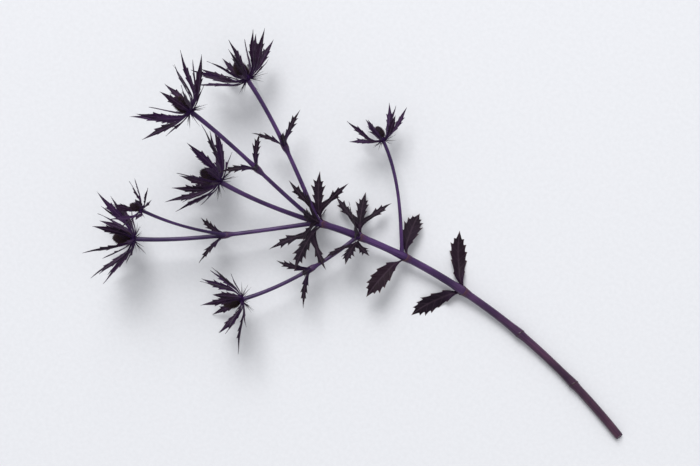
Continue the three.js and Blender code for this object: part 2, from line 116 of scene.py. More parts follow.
# Blades: rows of a share of the length and a half width, and the reach of the tooth in each stretch
# after the foot's. Edges and teeth lie `slant` mm further forward for each mm from the rib. A pair of
# lobes leaves the body's edges `after` that many stretches, at an angle to its rib and with a share
# of its length.
TOOTH_PEAK = 0.72  # where in its stretch of edge a tooth has its tip
BRACT = dict(
    length=54, slant=1.6,
    rows=[(0, 1.1), (0.2, 1.8), (0.34, 2.7), (0.48, 3.1), (0.63, 2.6)],
    reach=[1.1, 1.8, 1.7],
)
SLIM_BRACT = dict(length=36, slant=1.6, rows=[(0, 0.8), (0.34, 1.0), (0.58, 1.1)], reach=[1.5])
SAW_LEAF = dict(
    length=64, slant=1.05,
    rows=[(0, 2.3), (0.12, 2.8), (0.26, 5.6), (0.41, 7.6), (0.55, 7.6), (0.69, 5.7), (0.82, 3.0)],
    reach=[1.8, 2.4, 2.8, 2.6, 2.0],
)
CUT_LEAF = dict(
    length=56, slant=1.05,
    rows=[(0, 2.2), (0.12, 2.5), (0.34, 3.4), (0.48, 4.2), (0.63, 4.0), (0.76, 2.4)],
    reach=[0, 2.4, 3.6, 2.6],
    lobes=dict(
        after=0, angle=0.78, share=0.72,
        rows=[(0.28, 2.3), (0.48, 2.8), (0.68, 1.9)],
        reach=[2.6, 2.4],
    ),
)
BRANCH_LEAF = dict(
    length=42, slant=1.5,
    rows=[(0, 2.3), (0.2, 2.4), (0.38, 2.1), (0.55, 2.2), (0.72, 1.4)],
    reach=[1.8, 2.5, 2.0],
)

# The rows of a ruff: form, height of the foot, opening at the foot and further out, number, turn.
ROWS = [
    (BRACT, 0.9, (1.4, 0.62), lambda head: head["bracts"][0], 0),
    (BRACT, -0.1, (1.5, 0.98), lambda head: head["bracts"][1], 0.5),
    (SLIM_BRACT, -1.0, (1.6, 1.25), lambda head: head["bracts"][1] - 4, 0.05),
]
ROOT_RADIUS = 1.7  # where a bract starts, inside the receptacle
TWIST = (0.4, 1.0)  # the least and the most that a bract turns about its rib, either way
BRACT_FOLD = 0.28  # how far a bract rises for each mm from its rib
BRACT_VARIES = dict(length=0.13, azimuth=0.12, rise=0.2, opening=0.14, recurve=0.22, sway=0.22, turned=1)

# The needles below a ruff: number, turn in steps and how far it varies, the least and the most of the
# angle off the stem and of the length, and radius.
NEEDLES = dict(count=10, turn=0.25, varies=0.15, angle=(1.75, 2.45), length=(13, 21), radius=0.62)
NEEDLE_ROOT = 2.8

# Leaves: direction round the stem, share of the form's length, angles off the stem, twist.
LEAVES = {
    "top": ("main", 0.968, CUT_LEAF, 101, [
        (0.5, 1, 0.85, 1.2, 1.25), (0.02, 1.05, 0.9, 1.25, -1.2),
        (0.27, 0.85, 0.6, 0.85, 0.35), (0.78, 0.8, 1.1, 1.5, 0.3),
    ]),
    "middle": ("main", 0.846, CUT_LEAF, 131, [
        (0.56, 0.95, 1.0, 1.35, 1.3), (0.12, 0.8, 1.0, 1.3, -0.9), (0.32, 0.75, 0.7, 1.0, 0.3),
    ]),
    "lower": ("main", 0.705, SAW_LEAF, 151, [
        (0.04, 0.95, 0.85, 1.2, -1.3), (0.55, 0.8, 1.05, 1.4, 1.2),
    ]),
    "foot": ("main", 0.52, SAW_LEAF, 171, [
        (0.94, 1.0, 0.75, 1.0, -1.5), (0.57, 1.05, 0.7, 0.95, 1.5),
    ]),
    "left": ("left", 0.49, BRANCH_LEAF, 191, [
        (0.04, 1, 0.35, 0.7, -1.1), (0.6, 0.9, 0.35, 0.8, 1.0), (0.83, 0.75, 0.65, 0.9, 0.6),
    ]),
    "right": ("right", 0.5, BRANCH_LEAF, 211, [
        (0.52, 1.05, 0.35, 0.8, 1.1), (0.04, 0.95, 0.35, 0.7, -1.0), (0.27, 0.7, 0.75, 0.95, 0.2),
    ]),
    "upper": ("upper", 0.52, BRANCH_LEAF, 231, [
        (0.02, 1, 0.35, 0.7, -1.0), (0.52, 0.95, 0.35, 0.8, 1.0), (0.25, 0.7, 0.8, 0.95, 0.1),
    ]),
    "lowerLeft": ("lowerLeft", 0.45, BRANCH_LEAF, 251, [
        (0.0, 1.05, 0.35, 0.8, -1.1), (0.52, 0.95, 0.35, 0.7, 1.1), (0.25, 0.7, 0.8, 0.95, 0.1),
    ]),
}
LEAF_FOLD = 0.22
LEAF_RECURVE = 0.3
LEAF_VARIES = dict(recurve=0.1, sway=0.2, twist=0.15)

# ---- small helpers

WORD = 0xFFFFFFFF
FINE_SEED = 5000  # added to a seed, starts a second stream for what only this script draws


def draws(seed):
    """A repeatable stream of numbers from 0 to 1, the same one that shaped the solids."""
    state = seed

    def draw():
        nonlocal state
        state = (state + 0x6D2B79F5) & WORD
        t = (state ^ (state >> 15)) * (state | 1) & WORD
        t ^= (t + (t ^ (t >> 7)) * (t | 61)) & WORD
        return (t ^ (t >> 14)) / (WORD + 1)

    return draw


def mix(a, b, t):
    return a + (b - a) * t


def vary(reach, draw):
    """A number drawn between -reach and reach."""
    return mix(-reach, reach, draw())


def vary_all(reaches, draw):
    """A number for each name in turn, drawn between -reach and reach."""
    return {name: vary(reach, draw) for name, reach in reaches.items()}


def smooth(x):
    """Eases from 0 to 1."""
    return x * x * (3 - 2 * x)


def bell(x):
    return np.exp(-np.square(x))


def unit(v):
    return v / np.linalg.norm(v, axis=-1, keepdims=True)


def ring_turns(sides):
    """The directions of a ring's points, evenly round it."""
    return TURN * np.arange(sides) / sides


def ring_of(side, top, sides):
    """The points of a ring with a radius of 1."""
    turn = ring_turns(sides)
    return np.cos(turn)[:, None] * side + np.sin(turn)[:, None] * top


def band_faces(near, far, sides):
    """The quads between two closed rings, given by the number of each in its row of rings."""
    k = np.arange(sides)
    turned = (k + 1) % sides
    return np.stack([near * sides + k, near * sides + turned, far * sides + turned, far * sides + k], 1)


def loft_faces(rings, sides, cap_start=True, cap_end=True):
    """Quads between closed rings, and a face on either end."""
    quads = [band_faces(i, i + 1, sides) for i in range(rings - 1)]
    faces = [tuple(q) for q in np.concatenate(quads)]
    if cap_start:
        faces.append(tuple(range(sides - 1, -1, -1)))
    if cap_end:
        faces.append(tuple(range((rings - 1) * sides, rings * sides)))
    return faces


VECTORS = ("grain", "plan")  # the point values that have three numbers


class Heap:
    """The points, faces and point values of one piece, gathered part by part."""

    def __init__(self):
        self.points, self.faces, self.values, self.count = [], [], {}, 0

    def add(self, points, faces, **values):
        """Adds a part. A value is one for all its points, or an array that fits their rows."""
        grid = points.shape[:-1]
        self.points.append(points.reshape(-1, 3))
        self.faces += [tuple(int(i) + self.count for i in face) for face in faces]
        self.count += math.prod(grid)
        for name, value in values.items():
            width = (3,) if name in VECTORS else ()
            spread = np.broadcast_to(value, grid + width).reshape(-1, *width)
            self.values.setdefault(name, []).append(spread)


def add_object(name, data):
    made = bpy.data.objects.new(name, data)
    bpy.context.scene.collection.objects.link(made)
    return made


def make(name, heap, material, slot, *nodes):
    """Makes a piece of a heap, rides it on the plant and hides the solids that it stands for."""
    mesh = bpy.data.meshes.new(name)
    points = (np.concatenate(heap.points) + SHIFT) * MM
    mesh.from_pydata(points.tolist(), [], heap.faces)
    mesh.polygons.foreach_set("use_smooth", np.ones(len(mesh.polygons), bool))
    for value_name, parts in heap.values.items():
        kind, key = ("FLOAT_VECTOR", "vector") if value_name in VECTORS else ("FLOAT", "value")
        attribute = mesh.attributes.new(value_name, kind, "POINT")
        attribute.data.foreach_set(key, np.concatenate(parts).ravel().astype(np.float32))
    mesh.set_sharp_from_angle(angle=math.radians(50))
    mesh.materials.append(material)
    mesh.update()
    piece = add_object(name, mesh)
    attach(piece, "root")
    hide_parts(*nodes)


# ---- materials


class Shader:
    """A material's node tree, with short calls for the nodes used here."""

    def __init__(self, name, specular):
        self.material = bpy.data.materials.new(name)
        self.material.use_nodes = True
        self.tree = self.material.node_tree
        self.surface = self.tree.nodes["Principled BSDF"]
        self.surface.inputs["Specular IOR Level"].default_value = specular

    def node(self, kind, settings=(), **inputs):
        """Adds a node. An input goes by its name, or by i and its number where names repeat."""
        made = self.tree.nodes.new(kind)
        for key, value in dict(settings).items():
            setattr(made, key, value)
        for key, value in inputs.items():
            numbered = key[0] == "i" and key[1:].isdigit()
            socket = made.inputs[int(key[1:]) if numbered else key]
            if isinstance(value, bpy.types.NodeSocket):
                self.tree.links.new(value, socket)
            else:
                socket.default_value = value
        return made

    def attribute(self, name, output="Fac"):
        return self.node("ShaderNodeAttribute", {"attribute_name": name}).outputs[output]

    def place(self):
        return self.node("ShaderNodeTexCoord").outputs["Object"]

    def noise(self, where, scale, detail=3.0, roughness=0.55):
        inputs = dict(Vector=where, Scale=scale, Detail=detail, Roughness=roughness)
        return self.node("ShaderNodeTexNoise", **inputs).outputs["Fac"]

    def cells(self, where, scale, feature="F1"):
        """The distance to the middle of a cell, or to its edge."""
        made = self.node("ShaderNodeTexVoronoi", {"feature": feature}, Vector=where, Scale=scale)
        return made.outputs["Distance"]

    def ramp(self, fac, *stops):
        """Maps a value through two (place, value) stops, with a straight line between them."""
        made = self.node("ShaderNodeValToRGB", Fac=fac)
        for element, (place, value) in zip(made.color_ramp.elements, stops):
            element.position = place
            element.color = (value, value, value, 1)
        return made.outputs["Color"]

    def times(self, a, b):
        return self.node("ShaderNodeMath", {"operation": "MULTIPLY"}, i0=a, i1=b).outputs["Value"]

    def blend(self, fac, a, b):
        return self.node("ShaderNodeMix", {"data_type": "RGBA"}, i0=fac, i6=a, i7=b).outputs[2]

    def bump(self, height, strength, distance, **under):
        """Adds relief, on that of a Normal if one is given."""
        inputs = dict(Height=height, Strength=strength, Distance=distance, **under)
        return self.node("ShaderNodeBump", **inputs).outputs["Normal"]

    def finish(self, colour, roughness, normal):
        for socket, value in (("Base Color", colour), ("Roughness", roughness), ("Normal", normal)):
            self.tree.links.new(value, self.surface.inputs[socket])
        return self.material


def rgb(r, g, b):
    """A colour given as it looks, 0 to 255, in the linear values that a shader takes."""
    linear = [c / 255 / 12.92 if c <= 10 else ((c / 255 + 0.055) / 1.055) ** 2.4 for c in (r, g, b)]
    return (*linear, 1)


def stem_material():
    """A smooth dyed skin: violet towards the heads, browner towards the cut, with fine streaks along it,
    and shade painted into the furrows between its ridges.
    """
    s = Shader("stem skin", specular=0.32)
    streaks = s.noise(s.attribute("grain", "Vector"), scale=1.6, detail=5.0, roughness=0.6)
    clouds = s.noise(s.place(), scale=26)
    violet = s.blend(s.ramp(clouds, (0.35, 0), (0.65, 1)), rgb(46, 23, 69), rgb(84, 52, 107))
    brown = s.blend(s.ramp(clouds, (0.35, 0), (0.62, 1)), rgb(46, 24, 46), rgb(80, 48, 66))
    colour = s.blend(s.ramp(s.attribute("high"), (0.2, 0), (0.75, 1)), brown, violet)
    colour = s.blend(s.ramp(streaks, (0.42, 0.0), (0.68, 0.55)), colour, rgb(30, 16, 52))
    # painted shade: the furrows between the ridges are darkened, as if lying in their own shadow
    colour = s.blend(s.times(s.attribute("groove"), 0.45), colour, rgb(24, 12, 40))
    colour = s.blend(s.attribute("sheath"), colour, rgb(72, 38, 42))
    colour = s.blend(s.attribute("scar"), colour, rgb(44, 30, 30))
    colour = s.blend(s.times(s.attribute("pale"), 0.7), colour, rgb(112, 88, 84))
    roughness = s.ramp(streaks, (0.3, 0.30), (0.7, 0.46))
    return s.finish(colour, roughness, s.bump(streaks, strength=0.35, distance=0.4 * MM))


def pith_material():
    """The cut end: a ring of dyed bark round a paler, spongy pith."""
    s = Shader("cut pith", specular=0.3)
    cells = s.cells(s.place(), scale=1900.0)
    bark = s.ramp(s.attribute("rim"), (0.55, 0), (0.86, 1))
    colour = s.blend(bark, rgb(132, 116, 120), rgb(58, 34, 74))
    colour = s.blend(s.ramp(cells, (0.15, 0.0), (0.6, 0.4)), colour, rgb(88, 70, 86))
    roughness = s.ramp(cells, (0.2, 0.6), (0.6, 0.8))
    return s.finish(colour, roughness, s.bump(cells, strength=0.6, distance=0.3 * MM))


def blade_material(name, dark, light, foot, vein, warm, tip, spine, specular, foot_reach=0.34):
    """A leathery blade: veins to every tooth, a net of finer ones, a paler rib and a thin edge."""
    s = Shader(name, specular)
    plan = s.attribute("plan", "Vector")
    run = s.attribute("run")
    clouds = s.noise(s.place(), scale=60, detail=4.0)
    net = s.ramp(s.cells(plan, scale=0.85, feature="DISTANCE_TO_EDGE"), (0.0, 1), (0.12, 0))
    colour = s.blend(s.ramp(clouds, (0.35, 0), (0.66, 1)), dark, light)
    colour = s.blend(s.ramp(s.attribute("tint"), (0.45, 0), (1.0, 0.6)), colour, warm)
    colour = s.blend(s.ramp(run, (0.05, 0.85), (foot_reach, 0)), colour, foot)
    colour = s.blend(s.ramp(run, (0.6, 0), (1.0, 0.7)), colour, tip)
    colour = s.blend(s.times(net, 0.16), colour, vein)
    colour = s.blend(s.ramp(s.attribute("vein"), (0.15, 0), (0.9, 0.62)), colour, vein)
    colour = s.blend(s.ramp(s.attribute("edge"), (0.82, 0), (1.0, 0.5)), colour, vein)
    colour = s.blend(s.ramp(s.attribute("spine"), (0.25, 0), (0.9, 0.8)), colour, spine)
    roughness = s.ramp(clouds, (0.3, 0.37), (0.7, 0.51))
    grain = s.noise(plan, scale=2.4, detail=4.0, roughness=0.6)
    leather = s.bump(grain, strength=0.25, distance=0.3 * MM)
    return s.finish(colour, roughness, s.bump(net, strength=0.35, distance=0.25 * MM, Normal=leather))


def floret_material():
    """Florets: near-black cups with browner spines."""
    s = Shader("florets", specular=0.2)
    clouds = s.noise(s.place(), scale=420)
    colour = s.blend(s.ramp(clouds, (0.35, 0), (0.65, 1)), rgb(24, 15, 22), rgb(48, 34, 40))
    colour = s.blend(s.ramp(s.attribute("run"), (0.1, 0), (1.0, 0.8)), colour, rgb(88, 66, 62))
    colour = s.blend(s.ramp(s.attribute("tint"), (0.5, 0), (1.0, 0.5)), colour, rgb(60, 36, 82))
    roughness = s.ramp(clouds, (0.3, 0.5), (0.7, 0.72))
    return s.finish(colour, roughness, s.bump(clouds, strength=0.4, distance=0.3 * MM))


def floor_material():
    """A pale matt floor with the faintest grain."""
    s = Shader("floor", specular=0.15)
    fine = s.noise(s.place(), scale=240, detail=2.0)
    colour = s.blend(s.ramp(fine, (0.3, 0), (0.7, 1)), rgb(224, 225, 229), rgb(228, 229, 233))
    roughness = s.ramp(fine, (0.3, 0.7), (0.7, 0.8))
    return s.finish(colour, roughness, s.bump(fine, strength=0.03, distance=0.2 * MM))


STEM_SKIN = stem_material()
PITH = pith_material()
BRACT_SKIN = blade_material(
    "bracts", dark=rgb(20, 8, 24), light=rgb(47, 26, 50), foot=rgb(50, 25, 76),
    vein=rgb(80, 58, 88), warm=rgb(56, 30, 74), tip=rgb(14, 9, 15), spine=rgb(40, 28, 38),
    specular=0.09,
)
LEAF_TONES = dict(
    dark=rgb(18, 11, 21), light=rgb(35, 25, 38), vein=rgb(66, 52, 64), tip=rgb(16, 11, 13),
    spine=rgb(104, 84, 82), specular=0.06,
)
LEAF_SKIN = blade_material("leaves", foot=rgb(42, 24, 50), warm=rgb(42, 25, 36), **LEAF_TONES)
BRANCH_LEAF_SKIN = blade_material(
    "branch leaves", foot=rgb(48, 27, 70), warm=rgb(40, 24, 40), foot_reach=0.5, **LEAF_TONES
)
FLORET_SKIN = floret_material()

# ---- stem

LENGTH_STEPS = 200  # in which the length of an axis is measured


class Axis:
    """A cubic Bezier axis and its directions."""

    def __init__(self, points):
        self.points = np.array(points, float)
        steps = np.diff(self.at(np.linspace(0, 1, LENGTH_STEPS + 1)), axis=0)
        self.length = float(np.linalg.norm(steps, axis=1).sum())

    def at(self, t):
        t = np.asarray(t, float)[..., None]
        a, b, c, d = self.points
        return (1 - t) ** 3 * a + 3 * (1 - t) ** 2 * t * b + 3 * (1 - t) * t * t * c + t**3 * d

    def frame(self, t):
        """Origin, along, side and top at a place on the axis."""
        s = np.asarray(t, float)[..., None]
        a, b, c, d = self.points
        along = unit((1 - s) ** 2 * (b - a) + 2 * (1 - s) * s * (c - b) + s * s * (d - c))
        side = unit(np.cross(UP, along))
        return self.at(t), along, side, np.cross(along, side)


AXES = {}
for stem_name, stem in STEMS.items():
    parent, at_parent = stem.get("on", (None, 0))
    start = [AXES[parent].at(at_parent)] if parent else []
    AXES[stem_name] = Axis([*start, *stem["points"]])

TAPER_REACH = 5  # the main stem narrows to its terminal branch over this length
FLARE = 0.5  # how much wider a branch is where it leaves its parent
FLARE_REACH = 6


def stem_radius(name, t):
    """The radius of a stem at places along it, with its nodes and the flare where it branches off."""
    stem = STEMS[name]
    foot, middle, end = stem["radii"]
    length = AXES[name].length
    radius = np.where(t < 0.5, mix(foot, middle, 2 * t), mix(middle, end, 2 * t - 1))
    for node in stem.get("nodes", ()):
        reach = np.where(t < node, NODE_BEHIND, NODE_AHEAD)
        radius = radius * mix(1, stem["swell"], bell((t - node) * length / reach))
    if name == "main":
        taper = np.clip(((t - 1) * length + TAPER_REACH) / TAPER_REACH, 0, 1)
        return mix(radius, STEMS["terminal"]["radii"][0], taper**2)
    if name != "terminal":
        radius = radius * (1 + FLARE * bell(t * length / FLARE_REACH))
    return radius


def tube(axis, t, radius, turn, shear=0.0):
    """Rings of points round an axis, pressed flat where the stem lies on the floor."""
    origin, along, side, top = axis.frame(t)
    points = origin + (radius * np.cos(turn))[..., None] * side
    points = points + (radius * np.sin(turn))[..., None] * top + np.asarray(shear)[..., None] * along
    points[..., 2] = np.maximum(points[..., 2], 0)
    return points


GRAIN_ROUND = 3
GRAIN_ALONG = 0.05
VIOLET_AT = 380  # where the main stem has turned from brown to violet


def grain_of(turn, run, apart):
    """Where the streaks of the skin are read: drawn out along the stem, `apart` from other stems'."""
    across, up = np.cos(turn) * GRAIN_ROUND, np.sin(turn) * GRAIN_ROUND + apart
    return np.stack(np.broadcast_arrays(across, up, run * GRAIN_ALONG), axis=-1)


def violet_of(name, run):
    return np.clip(run / VIOLET_AT, 0, 1) if name == "main" else 1.0


# A collar of leaf feet has rings at shares of its height, up its outside and down inside its rim.
COLLAR_SIDES = 48
COLLAR_OUTSIDE = np.array([0, 0.08, 0.2, 0.35, 0.5, 0.65, 0.78, 0.88, 0.95, 1.0])
COLLAR_INSIDE = np.array([0.99, 0.9, 0.7, 0.5])
COLLAR_DOWN = 8.0  # how far it reaches below its leaves, and above them
COLLAR_UP = 0.6
COLLAR_LIFT = {"main": 3.4, "branch": 7.0}  # and further under each leaf
COLLAR_SPREAD = 0.62  # how far round the stem that spreads
COLLAR_THICK = 0.4
COLLAR_LEAN = 0.5  # how much further its rim stands off the stem under each leaf
COLLAR_SUNK = -0.12  # it starts under the stem's skin and rises out of it over this share
COLLAR_RISE = 0.6
COLLAR_HEM = 0.5  # how much deeper its lowest ring lies
COLLAR_TUCK = 0.9  # how fast its inside sinks into the stem below its rim
COLLAR_RIBS = 9
COLLAR_RIB_DEPTH = 0.03
COLLAR_BROWN = {"main": 0.85, "branch": 0.35}
COLLAR_APART = 5
PALE_FROM = 0.93  # the share from which its rim dries pale
PALE_RATE = 12


def add_collar(heap, name, at, turns, serial):
    """Adds the leaf feet that clasp the stem at a node, grown together to a collar with ribs."""
    kind = "main" if name == "main" else "branch"
    length = AXES[name].length
    around = ring_turns(COLLAR_SIDES)
    away = [np.abs((around - TURN * turn + math.pi) % TURN - math.pi) for turn in turns]
    near = np.max([bell(gap / COLLAR_SPREAD) for gap in away], axis=0)
    rim = at * length + COLLAR_UP + COLLAR_LIFT[kind] * near
    share = np.concatenate([COLLAR_OUTSIDE, COLLAR_INSIDE])[:, None]
    run = mix(at * length - COLLAR_DOWN, rim, share)
    t = np.minimum(run / length, 1)
    ribs = np.cos(COLLAR_RIBS * around + serial) * np.sin(math.pi * share)
    rise = smooth(np.minimum(1, share / COLLAR_RISE))
    stand = mix(COLLAR_SUNK, COLLAR_THICK, rise) + COLLAR_LEAN * near * share**3
    inside = np.arange(len(share))[:, None] >= len(COLLAR_OUTSIDE)
    inner = stand - COLLAR_THICK - COLLAR_TUCK * (1 - share)
    stand = np.where(inside, inner, stand - COLLAR_HEM * (share == 0))
    radius = stem_radius(name, t) * (1 + COLLAR_RIB_DEPTH * ribs) + stand
    faces = loft_faces(len(share), COLLAR_SIDES, cap_start=False, cap_end=False)
    faces += [tuple(quad) for quad in band_faces(len(share) - 1, 0, COLLAR_SIDES)]
    heap.add(
        tube(AXES[name], t, radius, around), faces,
        grain=grain_of(around, run, COLLAR_APART * serial),
        high=violet_of(name, run),
        # how deep in a furrow between the ribs each point lies, for the shade painted there
        groove=np.clip(-ribs, 0, 1),
        scar=0.0,
        sheath=share**2 * COLLAR_BROWN[kind],
        pale=np.clip((share - PALE_FROM) * PALE_RATE, 0, 1),
    )


MAIN_SIDES = 44
BRANCH_SIDES = 32
STEP = 1.5  # from one ring to the next
HEAD_FOOT = 3.1  # about how far a full head's foot lies below the end of its axis
INTO_HEAD = 1.4  # how far the stem reaches up into it
STEM_APART = 9

# Ridges run along each stem, with fewer and broader ones under them, and it bulges here and there.
RIDGES = 11
RIDGE_DEPTH = 0.035
RIDGE_SUNK = 0.6  # the ridges' middle lies this many depths inside the radius
RIDGE_TWIST = 0.006
RIDGE_TURN = 2.1  # from one stem to the next
FINE_SHARE = 0.7
BROAD_RIDGES = 5
BROAD_SHARE = 0.3
BROAD_TURN = 1.3
BULGE = 0.02
BULGE_LENGTH = 17
BULGES_ROUND = 2

# Scars are thin rings on nodes of the main stem that lost their leaves.
SCARS = (0.16, 0.34)
SCAR_REACH = 3.8  # the mesh has closer rings this far from a scar's node
SCAR_RINGS = 24
SCAR_TILT = 1.6
SCAR_TURN = 0.8
SCAR_WIDTH = 0.55
SCAR_HEIGHT = 0.45
SCAR_STAIN = 0.8

CUT_REACH = 9  # the slant of the cut fades out over this length
CUT_DRAWN = 0.93  # the bark draws in to this share at the cut


def places_along(name, last):
    """The places on a stem's axis where its mesh has rings."""
    length = AXES[name].length
    places = np.linspace(0, last, int(length / STEP) + 1)
    if name != "main":
        return places
    for node in SCARS:
        places = places[np.abs(places - node) * length > SCAR_REACH]
        places = np.append(places, node + np.linspace(-SCAR_REACH, SCAR_REACH, SCAR_RINGS) / length)
    return np.sort(places)


def ridges_of(run, turn, serial):
    """The ridges round a stem, from -1 at the bottom of a furrow to 1 on a crest."""
    phase = RIDGES * turn + RIDGE_TWIST * run * RIDGES + RIDGE_TURN * serial
    broad = np.cos(phase * BROAD_RIDGES / RIDGES + BROAD_TURN)
    return np.cos(phase) * FINE_SHARE + broad * BROAD_SHARE


def scars_of(run, turn, length):
    """How near each point is to a scar, from 0 to 1."""
    lips = [node * length + SCAR_TILT * np.cos(turn - SCAR_TURN) for node in SCARS]
    return np.max([bell((run - lip) / SCAR_WIDTH) for lip in lips], axis=0)


def add_stem(heap, name, serial):
    """Adds one stem, with its scars and its cut if it is the main one. Gives its rings."""
    axis = AXES[name]
    sides = MAIN_SIDES if name == "main" else BRANCH_SIDES
    last = 1
    if name in HEADS:
        last = 1 - (HEAD_FOOT * HEADS[name]["size"] - INTO_HEAD) / axis.length
    t = places_along(name, last)[:, None]
    run = t * axis.length
    turn = ring_turns(sides)
    ridge = ridges_of(run, turn, serial)
    bulge = BULGE * np.sin(run / BULGE_LENGTH + BULGES_ROUND * turn + serial)
    radius = stem_radius(name, t) * (1 + RIDGE_DEPTH * (ridge - RIDGE_SUNK) + bulge)
    scar, shear = 0.0, 0.0
    if name == "main":
        scar = scars_of(run, turn, axis.length)
        radius = radius + SCAR_HEIGHT * scar
        shear = CUT_SLANT * np.clip(1 - run / CUT_REACH, 0, 1) * np.sin(turn) * radius
        radius[0] *= CUT_DRAWN
    points = tube(axis, t, radius, turn, shear)
    heap.add(
        points, loft_faces(len(t), sides, cap_start=name != "main"),
        grain=grain_of(turn, run, STEM_APART * serial),
        high=violet_of(name, run),
        # how deep in a furrow between the ridges each point lies, for the shade painted there
        groove=np.clip(-ridge, 0, 1),
        scar=scar * SCAR_STAIN,
        sheath=0.0,
        pale=0.0,
    )
    return points


def build_stem():
    """The stems with their collars in one piece, open at the cut. Gives the rim of the cut."""
    heap = Heap()
    for serial, (name, at, _, _, each) in enumerate(LEAVES.values()):
        add_collar(heap, name, at, [turn for turn, *_ in each], serial)
    rings = {name: add_stem(heap, name, serial) for serial, name in enumerate(STEMS)}
    make("stem_skin", heap, STEM_SKIN, "stem", "stem")
    return rings["main"][0]


CUT_SEED = 907
CUT_SHARES = np.array([1, 0.93, 0.86, 0.7, 0.5, 0.3, 0.12])[:, None]  # rings, from the bark inwards
CUT_DEPTHS = np.array([0, 0.1, 0.35, 0.45, 0.6, 0.7, 0.75])[:, None]
CUT_ROUGH = 0.16
PITH_SHARE = 0.9  # inside it lies the rough pith, and outside it smooth bark


def build_cut(rim):
    """The cut face inside the stem's first ring: pith that has drawn back a little from the bark."""
    middle = rim.mean(0)
    inward = AXES["main"].frame(0)[1]
    random = draws(CUT_SEED)
    rough = np.array([[random() for _ in rim] for _ in CUT_SHARES]) * CUT_ROUGH
    depth = CUT_DEPTHS + rough * (CUT_SHARES < PITH_SHARE)
    rings = middle + (rim - middle) * CUT_SHARES[..., None] + depth[..., None] * inward
    heap = Heap()
    faces = [face[::-1] for face in loft_faces(len(CUT_SHARES), len(rim), cap_start=False)]
    heap.add(rings, faces, rim=CUT_SHARES)
    make("stem_cut", heap, PITH, "stem", "stem")


# ---- blades

RIB_STEPS = 40
OPENS_OVER = 0.45
FOLD_FADES = 14  # the distance from the rib that halves the rise of a fold
NEARLY = 1e-9


def outward(axes, turn):
    """The direction square to a frame's axis, `turn` round it from its left side."""
    _, _, side, top = axes
    return side * np.cos(turn) + top * np.sin(turn)


def rib_of(axes, length, azimuth, foot, rise, opening, recurve, sway, twist):
    """The stations of a blade's rib: where it is, and its directions facing and across.

    Near its foot its angle to the axis goes from one `opening` to the other, and the blade turns by
    `twist`. Further out the angle changes by `recurve`, and `sway` turns the rib round the axis.
    """
    origin, axis_along, _, _ = axes
    f = np.linspace(0, 1, RIB_STEPS + 1)[:, None]
    ease = smooth(np.minimum(1, f / OPENS_OVER))
    angle = mix(*opening, ease) + recurve * f * f
    out = outward(axes, azimuth + sway * f * f)
    along = axis_along * np.cos(angle) + out * np.sin(angle)
    face = axis_along * np.sin(angle) - out * np.cos(angle)
    turned = twist * ease
    face = face * np.cos(turned) + np.cross(along, face) * np.sin(turned)
    steps = along * length / RIB_STEPS
    steps[0] = origin + axis_along * rise + out[0] * foot
    return dict(at=np.cumsum(steps, axis=0), face=face, across=np.cross(face, along), length=length)


def on_rib(rib, fold, s, w):
    """Points of the blade's middle surface and the directions that it faces."""
    place = np.clip(s / rib["length"] * RIB_STEPS, 0, RIB_STEPS - NEARLY)
    i = place.astype(int)
    part = (place - i)[..., None]
    at, face, across = (mix(rib[key][i], rib[key][i + 1], part) for key in ("at", "face", "across"))
    face = unit(face)
    lift = fold * np.abs(w) / (1 + np.abs(w) / FOLD_FADES)
    return at + across * w[..., None] + face * lift[..., None], face


FOOT_ROWS = 10
GAP_ROWS = 6  # in a stretch without a tooth
RISE_AT = (0, 0.3, 0.55, 0.75, 0.9, 1)  # where a tooth's slow side is cut into rows
FALL_AT = (0.84, 0.5, 0.2)  # and its steep side
TIP_AT = (0, 0.12, 0.24, 0.36, 0.48, 0.6, 0.7, 0.79, 0.87, 0.93, 0.97, 1)  # and the strip's tip
RISE_CURVE = 1.7
FALL_CURVE = 1.4
TIP_CURVE = 1.05
TOOTH_VARIES = (0.75, 1.25)
SPINE_HALF = 0.13  # half the width of the spine that the tip ends in
SPINE_TAPER = 0.8


def between(near, far, x):
    """The place and the half width at a share of the way from one row to the next."""
    return mix(near[0], far[0], x), mix(near[1], far[1], x)


def stations_of(rows, reach, random):
    """A strip's cross rows: place, half width of the body, share of a tooth, its two reaches, vein."""
    plain = (0, 0, 0, 0)
    out = []
    for x in np.linspace(0, 1, FOOT_ROWS, endpoint=False):
        out.append((*between(rows[0], rows[1], x), *plain))
    for near, far, tooth in zip(rows[1:], rows[2:], reach):
        if not tooth:
            for x in np.linspace(0, 1, GAP_ROWS, endpoint=False):
                out.append((*between(near, far, x), *plain))
            continue
        left, right = (tooth * mix(*TOOTH_VARIES, random()) for _ in range(2))
        for x in RISE_AT:
            at_peak = float(x == 1)
            out.append((*between(near, far, x * TOOTH_PEAK), x**RISE_CURVE, left, right, at_peak))
        for x in FALL_AT:
            out.append((*between(near, far, 1 - x * (1 - TOOTH_PEAK)), x**FALL_CURVE, left, right, 0))
    last, last_half = rows[-1]
    for x in TIP_AT:
        half = max(SPINE_HALF * (1 - SPINE_TAPER * x), last_half * (1 - x) ** TIP_CURVE)
        out.append((mix(last, 1, x), half, *plain))
    return np.array(out)


# The columns of a strip from edge to edge: the side of the rib that each is on, and how far out it is.
SHARES = np.array([1, 0.88, 0.66, 0.42, 0.2, 0])
SIDES = np.concatenate([np.ones(len(SHARES)), [0], -np.ones(len(SHARES))])
COLUMNS = np.concatenate([SHARES, [0], SHARES[::-1]])

RIB_HALF = 0.38  # half the width of the rib, and its most in half widths of the strip
RIB_MOST = 0.45
LOBE_CURVE = 1.5  # how a lobe leaves the body's edge
LOBE_INSIDE = 0.8  # how far inside that edge it starts
LOBE_RUN = 0.5  # a lobe has the tone of the middle of its blade


